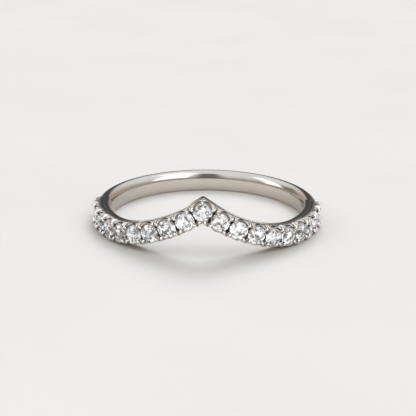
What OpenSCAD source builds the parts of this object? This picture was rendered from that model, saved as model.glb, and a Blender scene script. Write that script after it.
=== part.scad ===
// Chevron ring: a slim half-eternity band that rises to a point at the front.
// The finger bore runs along Z and the origin is its centre, level with the
// middle of the plain band. The point of the chevron faces -Y and rises to +Z.

/* [Finger size] */
// Inside diameter of the finger bore
bore_d = 17; // [15:0.25:21]

/* [Plain band] */
// Width of the plain half of the band, along the finger
shank_w = 1.8; // [1.6:0.05:2]
// Thickness of the plain half of the band
shank_t = 1.4; // [1.2:0.05:1.8]
// How far the bore cuts into the oval of the plain band
shank_flat = 0.08; // [0.05:0.01:0.15]

/* [Stone rail] */
// Width of the rail that carries the stones
rail_w = 1.85; // [1.8:0.05:2.1]
// Thickness of the rail under the gallery
rail_t = 0.65; // [0.55:0.05:0.8]
// Height of the scalloped gallery on the rail
gallery_h = 0.37; // [0.25:0.01:0.4]
// Wall of the gallery outside each stone
gallery_wall = 0.08; // [0.06:0.01:0.1]
// Run of the rail past the last prongs, into the plain band
rail_tail = 0.4; // [0.3:0.05:1]

/* [Chevron] */
// Slope of the two straight legs at the point
leg_angle = 31.2; // [15:0.2:34]
// Straight run of each leg, from the point outwards
leg_run = 1.08; // [0.9:0.02:1.6]
// Radius in which each leg bends down to the level band
bend_r = 16.7; // [10:0.1:18]
// Softening of the point of the chevron
point_soft = 0.15; // [0.05:0.01:0.2]
// Easing of the bore behind the raised front, so that it doesn't press on the finger
front_ease = 0.02; // [0.01:0.01:0.06]

/* [Stones] */
// Number of stones on each side of the centre stone
side_stones = 9; // [5:1:10]
// Diameter of each stone
stone_d = 1.62; // [1.4:0.02:1.64]
// Space between the edges of two neighbours
stone_space = 0.087; // [0.06:0.005:0.2]
// Height of the stones' edges above the bore
stone_rise = 1.12; // [1.08:0.01:1.3]
// Thickness of a stone's edge
girdle_t = 0.05; // [0.03:0.01:0.07]
// Slope of a stone's upper side
crown_angle = 33; // [30:0.5:35]
// Width of a stone's flat table
table_d = 0.9; // [0.8:0.02:1]
// Slope of a stone's lower side
pavilion_angle = 41; // [39:0.25:42]
// Clearance between a stone and the metal around it
stone_gap = 0.03; // [0.02:0.005:0.04]

/* [Prongs] */
// Diameter of a prong
prong_d = 0.66; // [0.56:0.02:0.7]
// Height of the rounded top of a prong
prong_cap = 0.24; // [0.15:0.01:0.3]
// Height of a prong's tip above the stones' edges
prong_rise = 0.36; // [0.3:0.01:0.5]
// Distance of a prong from the middle line of the rail
prong_offset = 0.58; // [0.56:0.01:0.64]
// Diameter of the claw at the point of the chevron
claw_d = 0.42; // [0.3:0.02:0.5]
// How far the claw laps over the centre stone
claw_lap = 0.08; // [0.04:0.01:0.12]

/* [Hidden] */

bore_r = bore_d / 2;
girdle_r = bore_r + stone_rise;
stone_r = stone_d / 2;
table_r = table_d / 2;
crown_h = (stone_r - table_r) * tan(crown_angle);
pavilion_h = stone_r * tan(pavilion_angle);
pitch = stone_d + stone_space;
rail_top = bore_r + rail_t;
gallery_top = rail_top + gallery_h;
gallery_r = stone_r + gallery_wall;
rail_bite = 0.2;
post_root = girdle_r - rail_top + rail_bite;

// The middle line of the rail, unrolled at the stones' edges: a straight leg,
// a bend and the level stretch, each given by the length s walked from the point
leg_length = leg_run / cos(leg_angle);
bend_length = bend_r * leg_angle * PI / 180;
bend_end = leg_run + bend_r * sin(leg_angle);
point_h = leg_run * tan(leg_angle) + bend_r * (1 - cos(leg_angle));

function slope_at(s) = abs(s) < leg_length ? leg_angle
    : abs(s) < leg_length + bend_length ? leg_angle - (abs(s) - leg_length) / bend_r * 180 / PI
    : 0;
function run_at(s) = abs(s) < leg_length ? s * cos(leg_angle)
    : sign(s) * (abs(s) < leg_length + bend_length ? bend_end - bend_r * sin(slope_at(s))
        : bend_end + abs(s) - leg_length - bend_length);
function height_at(s) = abs(s) < leg_length ? point_h - abs(s) * sin(leg_angle)
    : bend_r * (1 - cos(slope_at(s)));
function turn_at(s) = run_at(s) / girdle_r * 180 / PI;
function soft(s) = sqrt(s * s + point_soft * point_soft);
level_turn = turn_at(leg_length + bend_length);
function reversed(list) = [for (i = [len(list) - 1:-1:0]) list[i]];

// A point of the ring at a radius, a turn from the front and a height
function on_ring(radius, turn, height) = [radius * sin(turn), -radius * cos(turn), height];

// Lengths from the point at which the rail's outline has a corner
leg_steps = [0, 0.5, 1, 2, 4];
bend_steps = 9;
prong_end = (side_stones + 0.5) * pitch;
rail_tail_turn = turn_at(prong_end) - 90 + rail_tail / rail_top * 180 / PI;
outline_runs = concat([for (share = leg_steps) share * point_soft],
    [for (i = [0:bend_steps]) leg_length + i * bend_length / bend_steps]);

// Rail seen from the front: the chevron's upper and lower edges, a rail's width apart
module rail() {
    middle_r = (bore_r + rail_top) / 2;
    past = rail_top + rail_w;
    right = [for (side = [-1, 1], s = side < 0 ? outline_runs : reversed(outline_runs))
        if (s > 0) [middle_r * sin(turn_at(s)),
            height_at(soft(s)) + side * rail_w / 2 / cos(slope_at(s))]];
    half = len(right) / 2;
    lower = [for (i = [0:half - 1]) right[i]];
    upper = [for (i = [half:2 * half - 1]) right[i]];
    peak = height_at(soft(0));
    reach = rail_w / 2 / cos(leg_angle);
    intersection() {
        translate([0, 0, -rail_w])
            cylinder(r = rail_top, h = 3 * rail_w + point_h, $fn = 180);
        translate([0, rail_top * sin(rail_tail_turn), 0])
            rotate([90, 0, 0])
                linear_extrude(2 * rail_top)
                    polygon(concat([[0, peak - reach]], lower,
                        [[past, -rail_w / 2], [past, rail_w / 2]], upper,
                        [[0, peak + reach]],
                        [for (p = reversed(upper)) [-p[0], p[1]]],
                        [[-past, rail_w / 2], [-past, -rail_w / 2]],
                        [for (p = reversed(lower)) [-p[0], p[1]]]));
    }
}

// Places its children at s on the middle line and v across it, with Z outwards
module at_setting(s, v) {
    run = run_at(s) + sign(s) * v * sin(slope_at(s));
    turn = run / girdle_r * 180 / PI;
    translate(on_ring(girdle_r, turn, height_at(s) + v * cos(slope_at(s))))
        rotate([90, 0, turn])
            children();
}

// Plain half of the band: an oval section turned about the finger
oval_steps = 28;
shank_start = 0.1;
module shank() {
    start = turn_at(prong_end + shank_start);
    middle = bore_r - shank_flat + (shank_t + shank_flat) / 2;
    rotate([0, 0, start - 90])
        rotate_extrude(angle = 360 - 2 * start, $fn = 120)
            polygon([for (i = [0:oval_steps - 1]) let (a = (i + 0.5) * 360 / oval_steps)
                [middle + (shank_t + shank_flat) / 2 * cos(a), shank_w / 2 * sin(a)]]);
}

// Scalloped gallery: a round platform under each stone, each running into the next
module gallery() {
    for (i = [-side_stones:side_stones])
        at_setting(i * pitch, 0)
            translate([0, 0, -post_root])
                cylinder(r = gallery_r, h = post_root + gallery_top - girdle_r, $fn = 64);
}

// One prong: a round post from inside the rail, with a tip cut from a ball that is
// a little wider than a plain dome
dome_ease = 1.06;
module post(d, rise) {
    dome_r = (d * d / 4 + prong_cap * prong_cap) / (2 * prong_cap) * dome_ease;
    rotate_extrude($fn = 48)
        intersection() {
            translate([0, -post_root])
                square([d / 2, post_root + rise]);
            union() {
                translate([0, rise - dome_r])
                    circle(r = dome_r, $fn = 64);
                translate([0, -post_root])
                    square([d / 2, post_root + rise - dome_r]);
            }
        }
}

module prongs() {
    for (i = [-side_stones - 0.5:side_stones + 0.5], v = [-prong_offset, prong_offset])
        at_setting(i * pitch, v) post(prong_d, prong_rise);
    at_setting(0, stone_r + claw_d / 2 - claw_lap) post(claw_d, prong_rise);
}

// The room that one stone takes out of the metal: two cones that meet at its edge
module seat() {
    under = girdle_t / 2 + pavilion_h + 1.5 * stone_gap;
    over = girdle_t / 2 + crown_h + stone_gap;
    rotate_extrude($fn = 64)
        polygon([[0, -under], [stone_r + 2 * stone_gap, 0], [table_r + stone_gap / 2, over], [0, over]]);
}

// Finger bore: round, and eased over the turn in which the rail rises and falls
module bore() {
    tall = 4 * (point_h + rail_w);
    cylinder(d = bore_d, h = tall, center = true, $fn = 180);
    intersection() {
        cylinder(r = bore_r + front_ease, h = tall, center = true, $fn = 180);
        translate([-bore_d, -bore_d - bore_r * cos(level_turn), -tall / 2])
            cube([2 * bore_d, bore_d, tall]);
    }
}

module band() color("gainsboro") difference() {
    union() {
        rail();
        shank();
        gallery();
        prongs();
    }
    bore();
    for (i = [-side_stones:side_stones])
        at_setting(i * pitch, 0) seat();
}

// Round brilliant with its table up: star, bezel and upper girdle facets above the
// edge, lower girdle and main facets below it. Rings of corners are given as
// [radius, height, first angle], eight or sixteen to a ring.
star_reach = 0.5;
function corners(count, radius, height, first) = [for (i = [0:count - 1]) let (
        a = first + i * 360 / count)
    [radius * cos(a), radius * sin(a), height]];
module brilliant() color("aliceblue") {
    edge_h = girdle_t / 2;
    star_r = table_r + (stone_r * cos(22.5) - table_r) * star_reach;
    star_h = edge_h + (stone_r - star_r) * tan(crown_angle) * 0.93;
    lower_r = stone_r * 0.22;
    points = concat(corners(8, table_r, edge_h + crown_h, 0), corners(8, star_r, star_h, 22.5),
        corners(16, stone_r, edge_h, 0), corners(16, stone_r, -edge_h, 0),
        corners(8, lower_r, -edge_h - (stone_r - lower_r) * tan(pavilion_angle) * 0.97, 22.5),
        [[0, 0, -edge_h - pavilion_h]]);
    table = [[for (i = [0:7]) i]];
    crown = [for (i = [0:7]) let (
            n = (i + 1) % 8, star = 8 + i, before = 8 + (i + 7) % 8,
            g0 = 16 + 2 * i, g1 = 17 + 2 * i, g2 = 16 + (2 * i + 2) % 16)
        each [[i, star, n], [i, before, g0], [i, g0, star], [star, g0, g1], [star, g1, g2]]];
    edge = [for (j = [0:15]) let (n = (j + 1) % 16)
        each [[16 + j, 32 + j, 32 + n], [16 + j, 32 + n, 16 + n]]];
    pavilion = [for (i = [0:7]) let (
            low = 48 + i, after = 48 + (i + 1) % 8,
            g0 = 32 + 2 * i, g1 = 33 + 2 * i, g2 = 32 + (2 * i + 2) % 16)
        each [[low, g1, g0], [low, g2, g1], [g2, low, after], [56, after, low]]];
    polyhedron(points = points, faces = [for (f = concat(table, crown, edge, pavilion)) reversed(f)]);
}

module stone(i) at_setting(i * pitch, 0) brilliant();

band();
stone(0);  // stone_centre
for (i = [1:side_stones]) {
    stone(-i);
    stone(i);
}
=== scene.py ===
"""Looks of a chevron ring: polished white metal, round brilliants and a pale studio floor.

Every length is in metres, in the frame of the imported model. The finger bore runs along Z,
and the point of the chevron faces -Y and rises to +Z.
"""

import logging
import math
from dataclasses import dataclass, field
from enum import Enum

import bmesh
import bpy
import numpy as np
from bpy.types import Material, Object
from mathutils import Matrix, Vector


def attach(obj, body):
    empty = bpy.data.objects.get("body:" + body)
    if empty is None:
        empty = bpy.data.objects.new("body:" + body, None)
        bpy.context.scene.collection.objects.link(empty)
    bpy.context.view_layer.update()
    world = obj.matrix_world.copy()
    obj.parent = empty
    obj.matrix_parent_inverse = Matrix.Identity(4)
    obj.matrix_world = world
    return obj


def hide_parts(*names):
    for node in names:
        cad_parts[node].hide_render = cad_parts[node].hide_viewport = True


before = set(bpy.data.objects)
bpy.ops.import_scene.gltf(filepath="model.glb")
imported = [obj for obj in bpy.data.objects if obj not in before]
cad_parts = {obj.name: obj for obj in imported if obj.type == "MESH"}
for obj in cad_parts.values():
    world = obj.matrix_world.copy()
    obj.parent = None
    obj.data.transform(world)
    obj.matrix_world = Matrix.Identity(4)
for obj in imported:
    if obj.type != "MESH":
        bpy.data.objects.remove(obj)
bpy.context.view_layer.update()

MM = 0.001
BORE_R = 8.5 * MM
PITCH = 1.707 * MM
EACH_SIDE = 9
COOL_WHITE = (0.93, 0.97, 1.0)
LOG = logging.getLogger("chevron_ring")
Array = np.ndarray
Colour = tuple[float, float, float]
# A pair is the two ends of a range or, where rise or fall takes it, a start or end and a width.
Pair = tuple[float, float]
Faces = list[tuple[int, ...]]
Line = tuple[tuple[float, ...], ...]
# A shell is its points, its faces and each point's painted shade, from -1 for painted highlight to 1
# for full painted shade.
Shell = tuple[Array, Faces, Array]


class Slot(Enum):
    """Material slot names for the metal and the stones."""

    METAL = "white_metal"
    STONE = "clear_stone"


def linked(name: str, data: bpy.types.ID) -> Object:
    """Makes an object and links it to the scene."""
    made = bpy.data.objects.new(name, data)
    bpy.context.scene.collection.objects.link(made)
    return made


def smooth(value: Array) -> Array:
    """Eases a share from 0 to 1 with level ends."""
    held = np.clip(value, 0.0, 1.0)
    return held * held * (3.0 - 2.0 * held)


def rise(value: Array, start: float, width: float) -> Array:
    """Eases from 0 at the start to 1 after a width."""
    return smooth((value - start) / width)


def fall(value: Array, end: float, width: float) -> Array:
    """Eases from 1 a width before the end to 0 at the end."""
    return smooth((end - value) / width)


def between(low: Array, high: Array, share: Array) -> Array:
    """Blends from low to high by a share."""
    return low + (high - low) * share


# Shader maths


class Signal:
    """One output socket of a shader network, on which sums can be written."""

    def __init__(self, net: "ShaderNet", socket: bpy.types.NodeSocket) -> None:
        """Keeps the network and the socket."""
        self.net = net
        self.socket = socket

    def __add__(self, other: "Signal | float") -> "Signal":
        """Sum."""
        return self.net.math("ADD", self, other)

    __radd__ = __add__

    def __sub__(self, other: "Signal | float") -> "Signal":
        """Difference."""
        return self.net.math("SUBTRACT", self, other)

    def __rsub__(self, other: float) -> "Signal":
        """Difference with a number first."""
        return self.net.math("SUBTRACT", other, self)

    def __mul__(self, other: "Signal | float") -> "Signal":
        """Product."""
        return self.net.math("MULTIPLY", self, other)

    __rmul__ = __mul__

    def between(self, low: float, high: float) -> "Signal":
        """Share of the way from low to high, eased, and 0 or 1 outside them."""
        settings = {"interpolation_type": "SMOOTHSTEP"}
        values = {"Value": self, "From Min": low, "From Max": high}
        return self.net.node("ShaderNodeMapRange", settings, values)


class ShaderNet:
    """A node tree that is written with expressions."""

    def __init__(self, tree: bpy.types.NodeTree) -> None:
        """Empties the tree.

        Args:
            tree: node tree of a material or of the world.
        """
        self.tree = tree
        self.tree.nodes.clear()

    def node(self, kind: str, settings: dict, values: dict, output: int | str = 0) -> Signal:
        """Adds one node.

        Args:
            kind: the node's type name.
            settings: attributes, which are set first.
            values: numbers, tuples or signals by socket name or number.
            output: the output socket that is returned.

        Returns:
            The output as a signal.
        """
        made = self.tree.nodes.new(kind)
        for key, value in settings.items():
            setattr(made, key, value)
        for key, value in values.items():
            if isinstance(value, Signal):
                self.tree.links.new(value.socket, made.inputs[key])
            else:
                made.inputs[key].default_value = value
        return Signal(self, made.outputs[output] if made.outputs else None)

    def math(self, operation: str, *terms: "Signal | float") -> Signal:
        """Adds a Math node on numbers or signals."""
        return self.node("ShaderNodeMath", {"operation": operation}, dict(enumerate(terms)))

    def mix(self, share: Signal, low: "Signal | Colour", high: "Signal | Colour") -> Signal:
        """Mixes two colours.

        Args:
            share: 0 for the first colour, 1 for the second.
            low: first colour.
            high: second colour.

        Returns:
            The mixed colour.
        """
        ends = [end if isinstance(end, Signal) else (*end, 1.0) for end in (low, high)]
        values = {0: share, 6: ends[0], 7: ends[1]}
        return self.node("ShaderNodeMix", {"data_type": "RGBA", "blend_type": "MIX"}, values, 2)

    def noise(self, place: Signal, scale: float, detail: float, roughness: float = 0.5) -> Signal:
        """Adds a noise pattern and returns its value, about 0.5 on average."""
        values = {"Vector": place, "Scale": scale, "Detail": detail, "Roughness": roughness}
        return self.node("ShaderNodeTexNoise", {}, values, 0)

    def cells(self, place: Signal, scale: float) -> Signal:
        """Adds a pattern of small cells and returns a random number from 0 to 1 for each."""
        tone = self.node("ShaderNodeTexVoronoi", {}, {"Vector": place, "Scale": scale}, "Color")
        return self.node("ShaderNodeSeparateColor", {}, {0: tone}, 0)

    def place(self) -> Signal:
        """Position in the piece's own space, in metres."""
        return self.node("ShaderNodeTexCoord", {}, {}, "Object")


@dataclass(frozen=True)
class Finish:
    """A procedural material. Each finish gives the network of its own surface."""

    name: str = "plain"

    def surface(self, net: ShaderNet) -> Signal:
        """Writes the network of the surface.

        Args:
            net: the material's network.

        Returns:
            The shader.
        """
        return net.node("ShaderNodeBsdfPrincipled", {}, {})

    def build(self) -> Material:
        """Makes the material."""
        material = bpy.data.materials.new(self.name)
        material.use_nodes = True
        net = ShaderNet(material.node_tree)
        net.node("ShaderNodeOutputMaterial", {}, {"Surface": self.surface(net)})
        return material


@dataclass(frozen=True)
class PolishedMetal(Finish):
    """White metal from the polishing wheel, with wipe marks, painted shade in rougher recesses and
    painted highlights on beads.
    """

    name: str = "polished_white_metal"
    colour: Colour = (0.67, 0.63, 0.575)
    worn_colour: Colour = (0.63, 0.59, 0.535)
    # Colour of the painted shade in recesses; the next is the colour of the painted highlight.
    painted_shade_colour: Colour = (0.13, 0.098, 0.07)
    painted_highlight_colour: Colour = (0.97, 0.96, 0.95)
    polish: float = 0.035
    dulling: float = 0.22
    # Roughness added where highlights are painted.
    wear_and_highlight: float = 0.16
    mark_scale: float = 900.0
    mark_detail: float = 4.0
    mark_grain: float = 0.6
    mark_roughness: float = 0.03
    mark_height: float = 0.004 * MM
    mark_strength: float = 0.25
    cloud_scale: float = 260.0
    cloud_detail: float = 2.0
    cloud_range: Pair = (0.35, 0.7)

    def surface(self, net: ShaderNet) -> Signal:
        """Polish with fine marks and clouds, painted shade in rougher recesses and painted highlights
        on rougher edges.
        """
        place = net.place()
        marks = net.noise(place, self.mark_scale, self.mark_detail, self.mark_grain)
        clouds = net.noise(place, self.cloud_scale, self.cloud_detail)
        depth = net.node("ShaderNodeAttribute", {"attribute_name": "painted_shade"}, {}, "Fac")
        # The attribute paints shade where positive and highlights where negative; both also roughen.
        painted_shade, painted_highlight = depth.between(0.0, 1.0), depth.between(0.0, -1.0)
        tone = net.mix(clouds.between(*self.cloud_range), self.colour, self.worn_colour)
        shaded = net.mix(painted_shade, tone, self.painted_shade_colour)
        colour = net.mix(painted_highlight, shaded, self.painted_highlight_colour)
        roughness = (self.polish + self.mark_roughness * marks + self.dulling * painted_shade
                     + self.wear_and_highlight * painted_highlight)
        bump = net.node("ShaderNodeBump", {}, {
            "Height": marks, "Strength": self.mark_strength, "Distance": self.mark_height})
        return net.node("ShaderNodeBsdfPrincipled", {}, {
            "Base Color": colour, "Metallic": 1.0, "Roughness": roughness, "Normal": bump})


@dataclass(frozen=True)
class ClearStone(Finish):
    """Colourless brilliant: a clear refracting body, with painted dark reflections and painted glints
    that glow on its facets.
    """

    name: str = "clear_brilliant"
    colour: Colour = (1.0, 1.0, 1.0)
    tint: Colour = (0.93, 0.965, 1.0)
    dark: Colour = (0.035, 0.03, 0.03)
    shade: Colour = (0.17, 0.125, 0.09)
    flash: Colour = (0.95, 0.98, 1.0)
    no_flash: Colour = (0.0, 0.0, 0.0)
    refraction: float = 2.417
    tint_scale: float = 900.0
    tint_detail: float = 1.0
    tint_range: Pair = (0.3, 0.7)
    dark_reflection_scale: float = 4900.0
    dark_reflection_range: Pair = (0.40, 0.30)
    flash_scale: float = 4200.0
    flash_range: Pair = (0.66, 0.74)
    flash_level: float = 0.40

    def surface(self, net: ShaderNet) -> Signal:
        """Clear body with a faint tint, painted dark reflections, painted glints that glow and painted
        shade on the upper rim.
        """
        place = net.place()
        breath = net.noise(place, self.tint_scale, self.tint_detail)
        clear = net.mix(breath.between(*self.tint_range), self.colour, self.tint)
        # Cells of painted dark reflection on the facets.
        dark_reflection = net.cells(place, self.dark_reflection_scale).between(*self.dark_reflection_range)
        # The attribute paints shade on the stone's upper rim.
        edge = net.node("ShaderNodeAttribute", {"attribute_name": "painted_shade"}, {}, "Fac")
        with_dark_reflections = net.mix(dark_reflection, clear, self.dark)
        colour = net.mix(edge, with_dark_reflections, self.shade)
        # Cells of painted glints, which glow by emission.
        lit = net.cells(place, self.flash_scale).between(*self.flash_range) * (1.0 - edge)
        flash = net.mix(lit, self.no_flash, self.flash)
        return net.node("ShaderNodeBsdfPrincipled", {}, {
            "Base Color": colour, "Roughness": 0.0, "IOR": self.refraction,
            "Transmission Weight": 1.0, "Emission Color": flash,
            "Emission Strength": self.flash_level})


@dataclass(frozen=True)
class PaleFloor(Finish):
    """Smooth pale studio board with a faint mottle."""

    name: str = "pale_board"
    colour: Colour = (0.595, 0.560, 0.525)
    mottle: Colour = (0.580, 0.545, 0.510)
    mottle_scale: float = 60.0
    mottle_detail: float = 3.0
    mottle_range: Pair = (0.3, 0.7)
    roughness: float = 0.75
    sheen: float = 0.2

    def surface(self, net: ShaderNet) -> Signal:
        """Matt board with a mottle."""
        cloud = net.noise(net.place(), self.mottle_scale, self.mottle_detail)
        colour = net.mix(cloud.between(*self.mottle_range), self.colour, self.mottle)
        return net.node("ShaderNodeBsdfPrincipled", {}, {
            "Base Color": colour, "Roughness": self.roughness, "Specular IOR Level": self.sheen})


# Meshes


@dataclass
class MeshParts:
    """Points, faces and painted shade of one or more closed shells, negative for painted highlight."""

    points: list[Array] = field(default_factory=list)
    painted_shade: list[Array] = field(default_factory=list)
    faces: Faces = field(default_factory=list)
    count: int = 0

    def add(self, shell: Shell) -> None:
        """Adds one shell.

        Args:
            shell: the shell, with its faces' corners numbered from 0.
        """
        points, faces, painted_shade = shell
        self.points.append(points)
        self.painted_shade.append(painted_shade)
        self.faces.extend(tuple(i + self.count for i in face) for face in faces)
        self.count += len(points)

    def build(self, name: str, crease: float | None) -> Object:
        """Makes one mesh object.

        Args:
            name: its name.
            crease: edges sharper than this angle stay sharp; None keeps every facet flat.

        Returns:
            The object, linked to the scene.
        """
        mesh = bpy.data.meshes.new(name)
        mesh.from_pydata(np.concatenate(self.points).tolist(), [], self.faces)
        work = bmesh.new()
        work.from_mesh(mesh)
        bmesh.ops.recalc_face_normals(work, faces=work.faces)
        work.to_mesh(mesh)
        work.free()
        # Each point's painted shade and painted highlight, for the materials to paint.
        shade = mesh.attributes.new("painted_shade", "FLOAT", "POINT")
        shade.data.foreach_set("value", np.concatenate(self.painted_shade).astype(np.float32))
        if crease is None:
            mesh.shade_flat()
        else:
            mesh.shade_smooth()
            mesh.set_sharp_from_angle(angle=crease)
        return linked(name, mesh)


def tube_faces(rings: int, around: int, capped: bool = True) -> Faces:
    """Faces of a tube of rings, each ring a closed loop of points.

    Args:
        rings: how many loops of points.
        around: how many points in each loop.
        capped: whether each end has a face.

    Returns:
        Corner numbers of the faces.
    """
    faces = []
    for here in range(0, (rings - 1) * around, around):
        there = here + around
        for i in range(around):
            n = (i + 1) % around
            faces.append((here + i, here + n, there + n, there + i))
    if capped:
        faces.append(tuple(range(around)))
        faces.append(tuple(range((rings - 1) * around, rings * around)))
    return faces


@dataclass(frozen=True)
class ChevronPath:
    """Middle line of the stone rail: two straight legs, a bend on each side, then level."""

    girdle_r: float = 9.62 * MM
    leg_angle: float = math.radians(31.2)
    leg_run: float = 1.08 * MM
    bend_r: float = 16.7 * MM
    point_soft: float = 0.15 * MM

    @property
    def leg_length(self) -> float:
        """Length of a straight leg."""
        return self.leg_run / math.cos(self.leg_angle)

    @property
    def bend_end(self) -> float:
        """Run at which a bend becomes level."""
        return self.leg_run + self.bend_r * math.sin(self.leg_angle)

    def slope(self, length: Array) -> Array:
        """Slope of the line at a length walked from the point."""
        bent = np.maximum(np.abs(length) - self.leg_length, 0.0) / self.bend_r
        return np.clip(self.leg_angle - bent, 0.0, self.leg_angle)

    def run(self, length: Array) -> Array:
        """Run round the ring at a length walked from the point."""
        walked = np.abs(length)
        level = np.maximum(walked - self.leg_length - self.bend_r * self.leg_angle, 0.0)
        bent = self.bend_end - self.bend_r * np.sin(self.slope(length)) + level
        straight = walked * math.cos(self.leg_angle)
        return np.sign(length) * np.where(walked < self.leg_length, straight, bent)

    def slope_at_run(self, run: Array) -> Array:
        """Slope of the line at a run round the ring."""
        share = (self.bend_end - np.abs(run)) / self.bend_r
        return np.arcsin(np.clip(share, 0.0, math.sin(self.leg_angle)))

    def height(self, run: Array, soft: float = 1.0) -> Array:
        """Height of the line at a run round the ring.

        Args:
            run: run from the point, at the stones' edges.
            soft: share of the softening at the point.

        Returns:
            Height above the plain band's middle.
        """
        softened = np.hypot(run, soft * self.point_soft * math.cos(self.leg_angle))
        straight = np.maximum(self.leg_run - softened, 0.0) * math.tan(self.leg_angle)
        return straight + self.bend_r * (1.0 - np.cos(self.slope_at_run(softened)))

    def place(self, run: Array, across: Array, radius: Array) -> Array:
        """Points of the ring by run, distance across the rail and radius."""
        turn = run / self.girdle_r
        height = self.height(run) + across / np.cos(self.slope_at_run(run))
        return np.stack(np.broadcast_arrays(
            radius * np.sin(turn), -radius * np.cos(turn), height), -1)


@dataclass(frozen=True)
class Seat:
    """Where one stone sits: its centre and its directions along, across and out of the rail."""

    index: int
    length: float
    centre: Array
    along: Array
    across: Array
    out: Array

    @classmethod
    def at(cls, path: ChevronPath, index: int, pitch: float) -> "Seat":
        """Finds a seat.

        Args:
            path: the rail's middle line.
            index: 0 for the centre stone, below 0 to the left of it.
            pitch: spacing of the stones.

        Returns:
            The seat.
        """
        length = index * pitch
        run, side, slope = path.run(length), np.sign(index), path.slope(length)
        turn = run / path.girdle_r
        height = path.height(run, 0.0)
        centre = np.array([path.girdle_r * np.sin(turn), -path.girdle_r * np.cos(turn), height])
        level = np.array([np.cos(turn), np.sin(turn), 0.0])
        out = np.array([np.sin(turn), -np.cos(turn), 0.0])
        up = np.array([0.0, 0.0, 1.0])
        tilt = side * slope
        return cls(index, length, centre, level * np.cos(tilt) - up * np.sin(tilt),
                   level * np.sin(tilt) + up * np.cos(tilt), out)

    def point(self, along: Array, across: Array, out: Array) -> Array:
        """Points given along, across and out from the stone's centre."""
        return (self.centre + np.multiply.outer(along, self.along)
                + np.multiply.outer(across, self.across) + np.multiply.outer(out, self.out))

    def flat(self, points: Array) -> tuple[Array, Array]:
        """Distances along and across from the stone's centre to some points."""
        offset = points - self.centre
        return offset @ self.along, offset @ self.across


@dataclass(frozen=True)
class Brilliant:
    """Round brilliant: table, eight stars, eight kites, sixteen upper and lower halves, eight mains."""

    diameter: float = 1.62 * MM
    table: float = 0.90 * MM
    girdle: float = 0.05 * MM
    crown_angle: float = math.radians(33.0)
    pavilion_angle: float = math.radians(41.0)
    star_share: float = 0.5
    half_share: float = 0.77

    def corners(self) -> tuple[list[tuple[float, float, float]], Faces]:
        """Works out the cut.

        Returns:
            Corners in the stone's own space, and the facets as corner numbers.
        """
        radius, table_r, edge = self.diameter / 2, self.table / 2, self.girdle / 2
        eighth = math.pi / 4
        crown_h = (radius - table_r) * math.tan(self.crown_angle)
        star_r = table_r + (radius * math.cos(eighth / 2) - table_r) * self.star_share
        kite_drop = (star_r * math.cos(eighth / 2) - table_r) * math.tan(self.crown_angle)
        low_r = radius * (1.0 - self.half_share)
        depth = radius * math.tan(self.pavilion_angle)
        low_h = low_r * math.cos(eighth / 2) * math.tan(self.pavilion_angle) - depth - edge

        def ring(count: int, ring_r: float, height: float, first: float) -> list:
            """Evenly spaced corners on one level."""
            turns = (first + 2 * math.pi * i / count for i in range(count))
            return [(ring_r * math.cos(t), ring_r * math.sin(t), height) for t in turns]

        points = ring(8, table_r, edge + crown_h, 0.0)
        points += ring(8, star_r, edge + crown_h - kite_drop, eighth / 2)
        points += ring(16, radius, edge, 0.0) + ring(16, radius, -edge, 0.0)
        points += ring(8, low_r, low_h, eighth / 2) + [(0.0, 0.0, -depth - edge)]
        # Number of the first corner of each level, with the table's from 0.
        star, top, base, low, tip = 8, 16, 32, 48, 56
        faces: Faces = [tuple(range(8))]
        for i in range(8):
            n, before = (i + 1) % 8, (i + 7) % 8
            g = (2 * i, 2 * i + 1, (2 * i + 2) % 16)
            faces.append((i, star + i, n))
            faces.append((i, star + before, top + g[0], star + i))
            faces.append((star + i, top + g[0], top + g[1]))
            faces.append((star + i, top + g[1], top + g[2]))
            faces.append((low + i, base + g[1], base + g[0]))
            faces.append((low + i, base + g[2], base + g[1]))
            faces.append((tip, low + i, base + g[0], low + before))
        for j in range(16):
            n = (j + 1) % 16
            faces.append((top + j, base + j, base + n, top + n))
        return points, faces


@dataclass(frozen=True)
class StoneRow:
    """The brilliants, each turned in its seat as it happened to be set."""

    path: ChevronPath
    cut: Brilliant = Brilliant()
    pitch: float = PITCH
    each_side: int = EACH_SIDE
    turn_step: float = math.radians(137.5)
    lean: float = math.radians(1.2)
    lean_step: float = 2.4
    shaded_rim: Pair = (0.68, 0.25)
    shaded_side: Pair = (0.1, 0.5)

    def seats(self) -> list[Seat]:
        """Every seat from the far left to the far right."""
        return [Seat.at(self.path, i, self.pitch) for i in range(-self.each_side, self.each_side + 1)]

    @staticmethod
    def label(index: int) -> str:
        """Name of a stone, such as left_3."""
        return "centre" if index == 0 else f"{'left' if index < 0 else 'right'}_{abs(index)}"

    def build(self, finish: Material) -> list[Object]:
        """Makes every stone.

        Args:
            finish: the stones' material.

        Returns:
            One object a stone.
        """
        corners, facets = self.cut.corners()
        made = []
        for seat in self.seats():
            turn = Matrix.Rotation(seat.index * self.turn_step, 3, "Z")
            lean = Matrix.Rotation(self.lean * math.sin(self.lean_step * seat.index), 3, "X")
            local = np.array([lean @ turn @ Vector(corner) for corner in corners])
            parts = MeshParts()
            reach = 2 * np.hypot(local[:, 0], local[:, 1]) / self.cut.diameter
            upward = 2 * local[:, 1] / self.cut.diameter
            # Painted shade on the upper rim of each stone.
            shade = rise(reach, *self.shaded_rim) * rise(upward, *self.shaded_side)
            parts.add((seat.point(*local.T), facets, shade))
            stone = parts.build(f"brilliant_{self.label(seat.index)}", None)
            stone.data.materials.append(finish)
            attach(stone, "root")
            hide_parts(f"stone_{self.label(seat.index)}")
            made.append(stone)
        return made


@dataclass(frozen=True)
class Loop:
    """One loop of points round a stone.

    The curve is 0 for a loop in the stone's flat circle and 1 for one on the curved rail.
    """

    radius: Array
    height: Array | float
    shade: Array | float
    curve: float = 0.0


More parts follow.
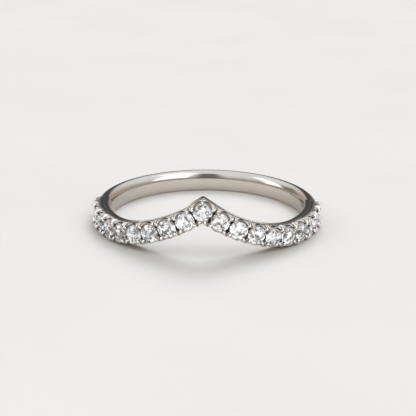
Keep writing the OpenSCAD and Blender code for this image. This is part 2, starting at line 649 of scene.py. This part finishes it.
@dataclass(frozen=True)
class Cup:
    """Metal round one stone: a pit, a thin lip burnished over the stone, and the shoulder.

    Heights are above the stone's edge. The shoulder follows the rail's curved surface at its
    outside and the stone's flat circle at its inside. Lines, the starts of the lip and the end
    of the groove are in millimetres.
    """

    path: ChevronPath
    cut: Brilliant = Brilliant()
    pitch: float = PITCH
    each_side: int = EACH_SIDE
    half_width: float = 0.915 * MM
    gap: float = 0.045 * MM
    gap_reach: float = 0.44 * MM
    gap_low: float = -0.27 * MM
    hole_side: float = 0.085 * MM
    hole_end: float = 0.53 * MM
    end_margin: float = 0.12 * MM
    clear: float = 0.012 * MM
    pit_depth: float = 0.774 * MM
    pit_edge: float = 0.87 * MM
    pit_steps: tuple[float, ...] = (0.0, 0.4, 0.8, 1.0)
    seat_r: float = 0.80 * MM
    # Each lip point is a radius, a height and its painted shade, negative for painted highlight.
    lip_line: Line = (
        (0.832, -0.04, 1.0), (0.828, 0.01, 1.0), (0.748, 0.078, 1.0), (0.752, 0.090, 1.0),
        (0.800, 0.095, 1.0), (0.822, 0.125, 0.9), (0.832, 0.150, -0.7), (0.846, 0.156, -0.9),
        (0.858, 0.125, 0.2))
    lower_lip_shade: float = 0.3
    lip_start: Pair = (0.36, 0.16)
    centre_lip_start: Pair = (0.84, 0.05)
    wall_r: float = 0.862 * MM
    wall_top: float = 0.09 * MM
    wall_fade: Pair = (0.05 * MM, 0.15 * MM)
    wall_shade: Pair = (-0.5, 1.2)
    weld: float = 0.001 * MM
    edge_step: float = 0.004 * MM
    gap_step: float = 0.01 * MM
    shoulder_steps: tuple[float, ...] = (0.0, 0.03, 0.15, 0.3, 0.45, 0.6, 0.75, 0.88, 1.0)
    slant: Line = (
        (0.50, 0.08), (0.62, 0.08), (0.68, 0.04), (0.74, -0.05), (0.80, -0.20), (0.86, -0.38),
        (0.90, -0.51), (0.915, -0.60))
    full_slant: Line = (
        (0.50, 0.08), (0.70, 0.07), (0.78, 0.05), (0.83, 0.01), (0.86, -0.04), (0.89, -0.14),
        (0.915, -0.28))
    full_from: Pair = (4.5, 3.5)
    full_light: float = 0.35
    crest_shade: float = -0.55
    groove: float = 0.17 * MM
    groove_width: float = 0.10 * MM
    groove_end: Pair = (0.9, 0.1)
    full_groove_loss: float = 0.6
    lower_groove: float = 0.45
    ledge: float = -0.47 * MM
    foot: float = -0.82 * MM
    ledge_top: float = 0.8
    side_share: float = 0.99
    side_fade: float = 0.1 * MM

    def fuller(self, index: int) -> float:
        """How much fuller a cup's shoulders are than in the middle, from 0 to 1 at the ends."""
        return float(rise(abs(index), *self.full_from))

    def quarter(self, end: bool) -> tuple[Array, Array]:
        """Outline of a quarter of the cup, from the neighbour's side to the rim's middle.

        Args:
            end: whether this side faces the plain band and not another stone.

        Returns:
            Distances along and across.
        """
        half, width = self.pitch / 2, self.half_width
        # Each corner is along, across and how many points there are up to the next one.
        if end:
            far = half + self.end_margin
            corners = [(far, 0.0, 5), (far, self.gap_reach, 4), (far, self.hole_end, 6),
                       (far, width, 4), (half, width, 13), (0.0, width, 0)]
        else:
            corners = [(half - self.gap, 0.0, 4), (half - self.gap, self.gap_reach, 3),
                       (half - self.hole_side, (self.gap_reach + 2 * self.hole_end) / 3, 3),
                       (half, self.hole_end, 8), (half, width, 14), (0.0, width, 0)]
        along, across = [], []
        for (a, c, count), (a2, c2, _) in zip(corners, corners[1:]):
            share = np.arange(count) / count
            along.append(between(a, a2, share))
            across.append(between(c, c2, share))
        return np.concatenate(along), np.concatenate(across)

    def outline(self, index: int) -> tuple[Array, Array]:
        """Whole outline of a cup, turning from the right over the top.

        Args:
            index: the stone's number.

        Returns:
            Distances along and across.
        """
        right, left = self.quarter(index == self.each_side), self.quarter(index == -self.each_side)
        middle = np.array([self.half_width])
        along = np.concatenate([right[0], middle * 0, -left[0][::-1], -left[0][1:], middle * 0,
                                right[0][:0:-1]])
        across = np.concatenate([right[1], middle, left[1][::-1], -left[1][1:], -middle,
                                 -right[1][:0:-1]])
        return along, across

    def stone_reach(self, height: Array) -> Array:
        """Radius that the metal must stay outside of at a height, to clear the stone."""
        radius, edge = self.cut.diameter / 2 + self.clear, self.cut.girdle / 2
        crown = radius - np.maximum(height - edge, 0.0) / math.tan(self.cut.crown_angle)
        pavilion = radius + np.minimum(height + edge, 0.0) / math.tan(self.cut.pavilion_angle)
        return np.minimum(crown, pavilion)

    def surface(self, along: Array, across: Array, index: int) -> tuple[Array, Array]:
        """Height and painted shade of the metal outside the lip.

        Args:
            along: distances along from the stone's centre.
            across: distances across from the stone's centre.
            index: the stone's number.

        Returns:
            Heights above the stone's edge and painted shade, negative for painted highlight.
        """
        wide, fuller, upper = np.abs(across) / MM, self.fuller(index), across > 0
        slim, full = (np.interp(wide, *zip(*line)) for line in (self.slant, self.full_slant))
        from_edge = np.maximum(self.pitch / 2 - np.abs(along), 0.0)
        groove = np.exp(-(from_edge / self.groove_width) ** 2)
        groove = np.where(np.sign(along) * self.each_side == index, 0.0, groove)
        groove = (groove * np.where(upper, 1.0 - self.full_groove_loss * fuller, self.lower_groove)
                  * fall(wide, *self.groove_end))
        # Painted shade in the grooves and painted highlight elsewhere, with more highlight on the upper
        # side at the ends of the row.
        shade = between(self.crest_shade, 1.0, groove) - self.full_light * fuller * upper
        return between(slim, full, fuller) * MM - self.groove * groove, shade

    def run_of(self, seat: Seat, along: Array, across: Array) -> Array:
        """Run round the ring of points given along and across from a stone."""
        length = seat.length + along
        side = np.where(length < 0, -1.0, 1.0) if seat.index == 0 else np.sign(seat.index)
        return self.path.run(length) + side * across * np.sin(self.path.slope(length))

    def centre_runs(self, seat: Seat, along: Array, across: Array) -> Array:
        """Runs of the outline's points, with the rims of the centre cup drawn to the point."""
        runs = self.run_of(seat, along, across)
        if seat.index != 0:
            return runs
        half = self.pitch / 2
        for level in (-1, 1):
            rim = np.isclose(across, level * self.half_width)
            corner = self.run_of(seat, half, level * self.half_width)
            runs = np.where(rim, along / half * corner, runs)
        return runs

    def lip_share(self, index: int, along: Array, across: Array, reach: Array) -> Array:
        """Where the cup has a lip, and not the open gap between two stones.

        Args:
            index: the stone's number.
            along: distances along of the outline.
            across: distances across of the outline.
            reach: distances of the outline from the stone's centre.

        Returns:
            1 for a full lip, 0 for the gap.
        """
        if index == 0:
            return rise(reach / MM, *self.centre_lip_start)
        end = np.sign(along) * self.each_side == index
        lip = rise(np.abs(across) / MM, *self.lip_start)
        return np.where(end & (np.abs(across) < self.gap_reach), 1.0, lip)

    def pit(self, low_r: float, lip: Array) -> list[Loop]:
        """Loops of the pit under the stone, in full painted shade, from its middle outward."""
        radii = [between(low_r, self.seat_r, lip) * part for part in self.pit_steps]
        return [Loop(radius, self.pit_depth * (radius / self.pit_edge - 1.0), 1.0)
                for radius in radii]

    def lip(self, low_r: float, lip: Array, across: Array, edge: Array) -> list[Loop]:
        """Loops of the lip.

        Args:
            low_r: radius of the pit in the gap.
            lip: where there is a lip.
            across: distances across of the outline.
            edge: the largest radius that the lip may have.

        Returns:
            Loops from the seat over the lip's crest.
        """
        strength = np.where(across > 0, 1.0, self.lower_lip_shade)
        loops = []
        for radius, height, shade in self.lip_line:
            level = between(self.gap_low, height * MM, lip)
            place = between(low_r + self.gap_step, np.minimum(radius * MM, edge), lip)
            loops.append(Loop(np.maximum(place, self.stone_reach(level)), level,
                              between(1.0, shade * strength, lip)))
        return loops

    def shoulder(self, index: int, outline: tuple[Array, Array], lip: Array, inner: Array,
                 reach: Array) -> list[Loop]:
        """Loops of the cut wall beside the lip and of the shoulder outside it.

        Args:
            index: the stone's number.
            outline: distances along and across of the outline.
            lip: where there is a lip.
            inner: radius of the cut wall.
            reach: distances of the outline from the stone's centre.

        Returns:
            Loops from the wall's top outward.
        """
        along, across = outline
        loops = []
        for step in self.shoulder_steps:
            radius = between(inner, reach, step)
            part = radius / reach
            height, shade = self.surface(along * part, across * part, index)
            if step == 0.0:
                # Painted shade on the cut wall of the upper side, where the shoulder is low.
                low, span = self.wall_shade
                wall = fall(height, *self.wall_fade) * (across > 0)
                shade = np.maximum(shade, wall * span + low)
                top = between(self.gap_low, np.maximum(height, self.wall_top), lip)
                loops.append(Loop(radius - self.weld, top, between(1.0, shade, lip)))
            loops.append(Loop(radius, between(self.gap_low, height, lip),
                              between(1.0, shade, lip), step))
        return loops

    def skirt(self, across: Array, reach: Array, top: Array) -> list[Loop]:
        """Loops down the outside of the cup to its foot, closed in the foot's middle."""
        # Painted shade on the outside of the cup, fading out at the rim's sides.
        side = fall(np.abs(across), self.half_width * self.side_share, self.side_fade)
        return [Loop(reach, np.minimum(top, self.ledge * self.ledge_top), side, 1.0),
                Loop(reach, self.ledge, side, 1.0), Loop(reach, self.foot, 1.0, 1.0),
                Loop(reach * 0.0, self.foot, 1.0)]

    def shell(self, seat: Seat) -> Shell:
        """Builds the cup of one stone as a closed shell.

        Args:
            seat: the stone's seat.

        Returns:
            The shell.
        """
        along, across = self.outline(seat.index)
        runs = self.centre_runs(seat, along, across)
        x, y = seat.flat(self.path.place(runs, across, self.path.girdle_r))
        turns, reach = np.arctan2(y, x), np.hypot(x, y)
        lip = self.lip_share(seat.index, along, across, reach)
        low_r = self.pit_edge * (1.0 + self.gap_low / self.pit_depth)
        edge = reach - self.edge_step
        loops = self.pit(low_r, lip) + self.lip(low_r, lip, across, edge)
        inner = np.maximum(loops[-1].radius, np.minimum(self.wall_r, edge))
        loops += self.shoulder(seat.index, (along, across), lip, inner, reach)
        loops += self.skirt(across, reach, loops[-1].height)
        points, painted_shade = [], []
        centre_run = self.path.run(seat.length)
        for loop in loops:
            radius, height, shade, _ = np.broadcast_arrays(loop.radius, loop.height, loop.shade, reach)
            flat = seat.point(radius * np.cos(turns), radius * np.sin(turns), height)
            part = radius / reach
            bent = self.path.place(centre_run + (runs - centre_run) * part, across * part,
                                   self.path.girdle_r + height)
            points.append(between(flat, bent, loop.curve))
            painted_shade.append(shade)
        faces = tube_faces(len(loops), len(turns), capped=False)
        return np.concatenate(points), faces, np.concatenate(painted_shade)


@dataclass(frozen=True)
class OvalSweep:
    """An oval drawn along a line, with a raised ridge in painted highlight and flanks in painted shade.
    """

    around: int = 12
    ridge: float = 0.35
    ridge_power: int = 4
    climb: Pair = (-0.1, 1.2)
    shade_lifts: tuple[float, float, float] = (-0.4, 0.1, 0.6)
    shades: tuple[float, float, float] = (0.9, 0.35, -1.0)

    def shell(self, middle: Array, wide: Array, thick: Array, out: Array) -> Shell:
        """Sweeps the oval.

        Args:
            middle: points of the line.
            wide: half width of the oval at each point.
            thick: half thickness of the oval at each point.
            out: direction away from the ring.

        Returns:
            The shell.
        """
        ahead = np.gradient(middle, axis=0)
        ahead /= np.linalg.norm(ahead, axis=1, keepdims=True)
        across = np.cross(ahead, out)
        across /= np.linalg.norm(across, axis=1, keepdims=True)
        normal = np.cross(across, ahead)
        angle = np.linspace(0.0, 2 * math.pi, self.around, endpoint=False)
        side, lift = np.cos(angle), np.sin(angle)
        ridged = lift * (1.0 + self.ridge * np.maximum(lift, 0.0) ** self.ridge_power)
        rings = (middle[:, None] + wide[:, None, None] * side[None, :, None] * across[:, None]
                 + (thick[:, None] * ridged[None, :])[..., None] * normal[:, None])
        climb = np.repeat(smooth(np.linspace(*self.climb, len(middle))), self.around)
        # Painted highlight on the ridge and painted shade on the flanks, fading in from the line's
        # start.
        shade = np.tile(np.interp(lift, self.shade_lifts, self.shades), len(middle))
        return rings.reshape(-1, 3), tube_faces(len(middle), self.around), shade * climb


@dataclass(frozen=True)
class Claw:
    """One prong: a slim ridge that climbs from the rim and laps over the stone as a bead.

    Its middle line is given along and across from the stone and above the stone's edge, in
    millimetres, with the half width and the half thickness there. Towards the ends of the row
    it is wider and thicker, with more painted highlight and less painted shade on its flanks.
    """

    seat: Seat
    cup: Cup
    side: int
    level: int
    line: Line = (
        (0.775, 0.880, -0.30, 0.050, 0.05), (0.755, 0.820, -0.04, 0.060, 0.06),
        (0.725, 0.750, 0.150, 0.078, 0.07), (0.685, 0.680, 0.245, 0.098, 0.075),
        (0.640, 0.620, 0.285, 0.110, 0.075), (0.590, 0.565, 0.260, 0.108, 0.07),
        (0.545, 0.520, 0.200, 0.085, 0.055), (0.520, 0.497, 0.150, 0.045, 0.03))
    oval: OvalSweep = OvalSweep()
    full_width: float = 0.75
    full_thickness: float = 0.45
    full_rise: float = 0.16 * MM
    full_flank: float = 0.9
    full_light: float = 0.2

    def middle(self, along: Array, across: Array, out: Array) -> Array:
        """Middle line of the prong, bent with the rail."""
        path = self.cup.path
        return path.place(self.cup.run_of(self.seat, along, across), across, path.girdle_r + out)

    def shell(self) -> Shell:
        """Sweeps the prong along its middle line.

        Returns:
            The shell.
        """
        line, full = np.array(self.line) * MM, self.cup.fuller(self.seat.index)
        along, across = self.side * line[:, 0], self.level * line[:, 1]
        out = line[:, 2] + self.full_rise * full * np.linspace(1.0, 0.0, len(line)) ** 2
        wide = line[:, 3] * (1.0 + self.full_width * full)
        thick = line[:, 4] * (1.0 + self.full_thickness * full)
        points, faces, shade = self.oval.shell(
            self.middle(along, across, out), wide, thick, self.seat.out)
        # Towards the ends of the row, less painted shade on the flanks and more painted highlight.
        held = np.minimum(shade, 1.0 - self.full_flank * full)
        return points, faces, held - self.full_light * full


@dataclass(frozen=True)
class PointClaw(Claw):
    """The long claw that comes down from the point of the rim onto the centre stone."""

    side: int = 0
    level: int = 1
    line: Line = (
        (0.0, 1.045, -0.36, 0.030, 0.04), (0.0, 0.985, -0.10, 0.045, 0.06),
        (0.0, 0.925, 0.080, 0.070, 0.07), (0.0, 0.870, 0.190, 0.095, 0.075),
        (0.0, 0.820, 0.245, 0.115, 0.075), (0.0, 0.770, 0.250, 0.115, 0.07),
        (0.0, 0.725, 0.205, 0.085, 0.055), (0.0, 0.705, 0.165, 0.045, 0.03))

    def middle(self, along: Array, across: Array, out: Array) -> Array:
        """Middle line of the claw, straight over the centre stone."""
        return self.seat.point(along, across, out)


@dataclass(frozen=True)
class Rail:
    """Rail under the cups: rounded inner edges with painted highlight, a flat rim on each side and a
    hidden channel in painted shade.
    """

    path: ChevronPath
    bore_r: float = BORE_R
    half_width: float = 0.925 * MM
    comfort: float = 0.24 * MM
    point_comfort: float = 0.035 * MM
    easing: Pair = (4.0 * MM, 6.0 * MM)
    rim_r: float = 9.06 * MM
    bevel: float = 0.02 * MM
    channel: float = 0.80 * MM
    floor_r: float = 8.84 * MM
    end_length: float = (EACH_SIDE + 0.5) * PITCH + 0.15 * MM
    steps: int = 300
    edge_points: int = 7
    crowding: float = 0.35
    wear_and_highlight: float = 0.7
    highlight_share: float = 0.8

    def section(self, comfort: float) -> tuple[Array, Array]:
        """Section of the rail.

        Args:
            comfort: radius of its inner edges.

        Returns:
            Distances across and radii, in order round the section.
        """
        turn = np.linspace(0.0, math.pi / 2, self.edge_points)
        inner = self.half_width - comfort
        across = [0.0, *(inner + comfort * np.sin(turn)), self.half_width,
                  self.half_width, self.half_width - self.bevel, self.channel + self.bevel,
                  self.channel, self.channel, 0.0]
        radius = [self.bore_r, *(self.bore_r + comfort * (1 - np.cos(turn))),
                  self.bore_r + comfort + self.bevel, self.rim_r - self.bevel, self.rim_r,
                  self.rim_r, self.rim_r - self.bevel, self.floor_r, self.floor_r]
        back_across = [-a for a in across[-2:0:-1]]
        back_radius = radius[-2:0:-1]
        return np.array(across + back_across), np.array(radius + back_radius)

    def shell(self) -> Shell:
        """Sweeps the section along the chevron, with a sharper inner edge at its legs.

        Returns:
            The shell.
        """
        crisp, soft = self.section(self.point_comfort), self.section(self.comfort)
        end = float(self.path.run(self.end_length))
        share = np.linspace(-1.0, 1.0, self.steps + 1)
        runs = (end * (self.crowding * share ** 3 + (1.0 - self.crowding) * share))[:, None]
        eased = rise(np.abs(runs), *self.easing)
        across, radius = (between(c[None, :], s[None, :], eased) for c, s in zip(crisp, soft))
        points = self.path.place(runs, across, radius)
        wide, depth = soft[0], soft[1] - self.bore_r
        # Painted shade in the hidden channel and painted highlight on the rounded inner edges away from
        # the point.
        inside = (np.abs(wide) < self.channel + self.bevel / 2) & (depth > self.comfort)
        highlit_edge = (wide > self.half_width - self.comfort) & (depth < self.highlight_share * self.comfort)
        painted_shade = (inside.astype(float) - self.wear_and_highlight * highlit_edge * eased).ravel()
        return points.reshape(-1, 3), tube_faces(len(runs), len(wide)), painted_shade


@dataclass(frozen=True)
class Shank:
    """Plain half of the band, oval in section, with softly rounded ends under the last claws."""

    path: ChevronPath
    bore_r: float = BORE_R
    thickness: float = 1.4 * MM
    bite: float = 0.03 * MM
    half_width: float = 0.9 * MM
    under_power: float = 3.0
    inner_power: float = 7.0
    under_width: float = 0.926 * MM
    start_length: float = (EACH_SIDE + 0.5) * PITCH + 0.05 * MM
    ease: float = 0.22 * MM
    tuck: float = 0.10
    crowding: float = 0.1
    around: int = 56
    steps: int = 160
    bore_shade: float = 0.17
    foot_highlight: float = 0.7
    highlit_ends: float = 4.5 * MM
    inner_side: Pair = (-0.1, 0.3)
    outer_side: Pair = (-0.1, 0.4)
    bore_bottom: Pair = (-0.85, 0.2)
    bore_top: Pair = (0.8, 0.2)
    foot_top: Pair = (-0.75, 0.2)
    rim_bottom: Pair = (-0.3, 0.4)

    def shell(self) -> Shell:
        """Turns the oval about the finger.

        Returns:
            The shell.
        """
        start = float(self.path.run(self.start_length)) / self.path.girdle_r
        half_thick = (self.thickness + self.bite) / 2
        middle = self.bore_r - self.bite + half_thick
        angle = np.linspace(0.0, 2 * math.pi, self.around, endpoint=False)
        share = np.linspace(0.0, 1.0, self.steps + 1)
        eased = share - np.sin(2 * math.pi * share) * self.crowding
        turns = start + (2 * math.pi - 2 * start) * eased
        from_end = np.minimum(turns - start, 2 * math.pi - start - turns) * self.path.girdle_r
        off = 1.0 - np.clip(from_end / self.ease, 0, 1)
        scales = 1.0 - self.tuck * (1.0 - np.sqrt(1.0 - off ** 2))
        full = np.where(np.sin(angle) < 0, 2.0 / self.under_power, 1.0)
        full = np.where((np.sin(angle) < 0) & (np.cos(angle) < 0), 2.0 / self.inner_power, full)
        thick, high = (np.sign(x) * np.abs(x) ** full for x in (np.cos(angle), np.sin(angle)))
        points = []
        for turn, scale in zip(turns, scales):
            radius = np.maximum(middle + half_thick * scale * thick, self.bore_r)
            height = np.where(high < 0, self.under_width, self.half_width) * scale * high
            points.append(np.stack([radius * np.sin(turn), -radius * np.cos(turn), height], -1))
        faces = tube_faces(len(turns), self.around)
        return np.concatenate(points), faces, self.shade(thick, high, from_end).ravel()

    def shade(self, thick: Array, high: Array, from_end: Array) -> Array:
        """Painted shade on the bore, and painted highlight on the foot and on the outer side near the
        ends.

        Args:
            thick: places round the section from -1 at the bore to 1 at the outside.
            high: places round the section from -1 at the foot to 1 at the top.
            from_end: distances of the sections from the nearer end.

        Returns:
            Painted shade, negative for painted highlight, a row for each section.
        """
        # Painted shade on the bore, painted highlight on the foot and on the outer side near the ends.
        inner = fall(thick, *self.inner_side)
        bore = inner * rise(high, *self.bore_bottom) * fall(high, *self.bore_top)
        foot = inner * fall(high, *self.foot_top)
        rim = rise(thick, *self.outer_side) * rise(high, *self.rim_bottom)
        near_end = fall(from_end, self.highlit_ends, self.highlit_ends)
        return (self.bore_shade * bore - self.foot_highlight * foot)[None, :] - np.outer(near_end, rim)


@dataclass(frozen=True)
class Band:
    """All the metal of the ring, soldered into one: rail, cups, claws and plain band."""

    path: ChevronPath
    seats: list[Seat]
    crease: float = math.radians(42.0)

    def build(self, finish: Material) -> Object:
        """Makes the band.

        Args:
            finish: the metal's material.

        Returns:
            The band's object.
        """
        parts = MeshParts()
        parts.add(Rail(self.path).shell())
        parts.add(Shank(self.path).shell())
        cup = Cup(self.path)
        for seat in self.seats:
            parts.add(cup.shell(seat))
            for side, level in ((-1, -1), (-1, 1), (1, -1), (1, 1)):
                parts.add(Claw(seat, cup, side, level).shell())
            if seat.index == 0:
                parts.add(PointClaw(seat, cup).shell())
        band = parts.build("chevron_band", self.crease)
        band.data.materials.append(finish)
        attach(band, "root")
        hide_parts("band")
        return band


# Studio


@dataclass(frozen=True)
class Viewpoint:
    """Camera at the photograph's angle, found from the ring's edges and stones."""

    distance: float = 120.0 * MM
    elevation: float = math.radians(18.67)
    swing: float = math.radians(2.088)
    roll: float = math.radians(0.371)
    focal_px: float = 1363.15
    frame_px: float = 416.0
    left_px: float = 1.16
    down_px: float = 2.11
    sensor_mm: float = 36.0
    clip: Pair = (1.0 * MM, 20.0)

    def build(self) -> None:
        """Makes the camera and sets it as the scene's."""
        data = bpy.data.cameras.new("camera")
        data.sensor_width = self.sensor_mm
        data.lens = self.sensor_mm * self.focal_px / self.frame_px
        data.shift_x = self.left_px / self.frame_px
        data.shift_y = self.down_px / self.frame_px
        data.clip_start, data.clip_end = self.clip
        level = Vector((math.sin(self.swing), -math.cos(self.swing), 0.0))
        back = level * math.cos(self.elevation) + Vector((0, 0, math.sin(self.elevation)))
        right = Vector((0, 0, 1)).cross(back).normalized()
        up = back.cross(right)
        rolled = right * math.cos(self.roll) + up * math.sin(self.roll)
        lifted = up * math.cos(self.roll) - right * math.sin(self.roll)
        turn = Matrix((rolled, lifted, back)).transposed()
        camera = linked("camera", data)
        camera.matrix_world = Matrix.Translation(back * self.distance) @ turn.to_4x4()
        bpy.context.scene.camera = camera


@dataclass(frozen=True)
class Panel:
    """A patch of the light tent: its direction, its spread and its brightness."""

    azimuth: float
    elevation: float
    wide: float
    high: float
    soft: float
    level: float
    tone: Colour = (1.0, 1.0, 1.0)

    def mask(self, net: ShaderNet, azimuth: Signal, elevation: Signal) -> Signal:
        """Share of the panel in each direction.

        Args:
            net: the world's network.
            azimuth: direction round the horizon in degrees, 0 behind the ring.
            elevation: direction above the horizon in degrees.

        Returns:
            1 inside the panel, 0 outside.
        """
        off = azimuth - self.azimuth
        wrapped = net.math("ABSOLUTE", net.math("WRAP", off, 180.0, -180.0))
        tall = net.math("ABSOLUTE", elevation - self.elevation)
        inside_wide = 1.0 - wrapped.between(self.wide - self.soft, self.wide + self.soft)
        inside_high = 1.0 - tall.between(self.high - self.soft, self.high + self.soft)
        return inside_wide * inside_high


@dataclass(frozen=True)
class LightTent:
    """Soft white tent round the ring, with darker openings that give the metal its lines."""

    horizon: Colour = (0.50, 0.43, 0.36)
    dome: Colour = (0.98, 1.02, 1.08)
    dome_range: Pair = (8.0, 48.0)
    dome_level: float = 1.0
    panels: tuple[Panel, ...] = (
        Panel(-62.0, 20.0, 14.0, 12.0, 5.0, 0.30),
        Panel(0.0, 16.5, 20.0, 13.0, 6.0, 0.09),
        Panel(180.0, 34.0, 16.0, 32.0, 9.0, 0.21),
        Panel(130.0, 50.0, 24.0, 26.0, 5.0, 2.1, COOL_WHITE),
        Panel(130.0, 54.0, 11.0, 9.0, 3.0, 5.0),
        Panel(72.0, 70.0, 26.0, 9.0, 5.0, 1.8, COOL_WHITE),
        Panel(-92.0, 37.0, 13.0, 19.0, 4.0, 2.1, COOL_WHITE),
        Panel(-92.0, 40.0, 6.0, 9.0, 3.0, 5.0),
    )

    def build(self) -> None:
        """Makes the world and sets it as the scene's."""
        world = bpy.data.worlds.new("light_tent")
        world.use_nodes = True
        net = ShaderNet(world.node_tree)
        direction = net.node("ShaderNodeTexCoord", {}, {}, "Generated")
        axes = [net.node("ShaderNodeSeparateXYZ", {}, {0: direction}, i) for i in range(3)]
        degree = math.degrees(1.0)
        azimuth = net.math("ARCTAN2", axes[0], axes[1]) * degree
        elevation = net.math("ARCSINE", axes[2]) * degree
        up = elevation.between(*self.dome_range)
        colour = net.mix(up, self.horizon, self.dome)
        for panel in self.panels:
            tone = tuple(c * panel.level for c in panel.tone)
            colour = net.mix(panel.mask(net, azimuth, elevation), colour, tone)
        shader = net.node("ShaderNodeBackground", {}, {"Color": colour, "Strength": self.dome_level})
        net.node("ShaderNodeOutputWorld", {}, {"Surface": shader})
        bpy.context.scene.world = world


@dataclass(frozen=True)
class WindowLight:
    """Broad soft light from behind, low enough to shine in under the point of the chevron."""

    azimuth: float = math.radians(8.0)
    elevation: float = math.radians(43.0)
    spread: float = math.radians(36.0)
    strength: float = 2.3
    tone: Colour = (0.82, 0.92, 1.0)

    def build(self) -> None:
        """Makes the light, which the metal doesn't mirror."""
        data = bpy.data.lights.new("window", "SUN")
        data.energy, data.angle, data.color = self.strength, self.spread, self.tone
        level = math.cos(self.elevation)
        back = Vector((math.sin(self.azimuth) * level, math.cos(self.azimuth) * level,
                       math.sin(self.elevation)))
        light = linked("window", data)
        light.rotation_euler = back.to_track_quat("Z", "Y").to_euler()
        light.visible_glossy = False


@dataclass(frozen=True)
class Board:
    """Pale board that the ring lies on."""

    half_size: float = 0.3
    level: float = -0.93 * MM

    def build(self, finish: Material) -> None:
        """Makes the board.

        Args:
            finish: the board's material.
        """
        s = self.half_size
        mesh = bpy.data.meshes.new("board")
        mesh.from_pydata([(-s, -s, self.level), (s, -s, self.level), (s, s, self.level),
                          (-s, s, self.level)], [], [(0, 1, 2, 3)])
        mesh.materials.append(finish)
        board = linked("board", mesh)


def main() -> None:
    """Builds the ring's metal, its stones and the studio."""
    logging.basicConfig(level=logging.INFO, format="%(message)s")
    scene = bpy.context.scene
    scene.view_settings.view_transform = "Standard"
    Viewpoint().build()
    LightTent().build()
    WindowLight().build()
    Board().build(PaleFloor().build())
    path = ChevronPath()
    row = StoneRow(path)
    band = Band(path, row.seats()).build(PolishedMetal().build())
    LOG.info("%s: %d faces", band.name, len(band.data.polygons))
    for stone in row.build(ClearStone().build()):
        LOG.info("%s: %d facets", stone.name, len(stone.data.polygons))


if __name__ == "__main__":
    main()
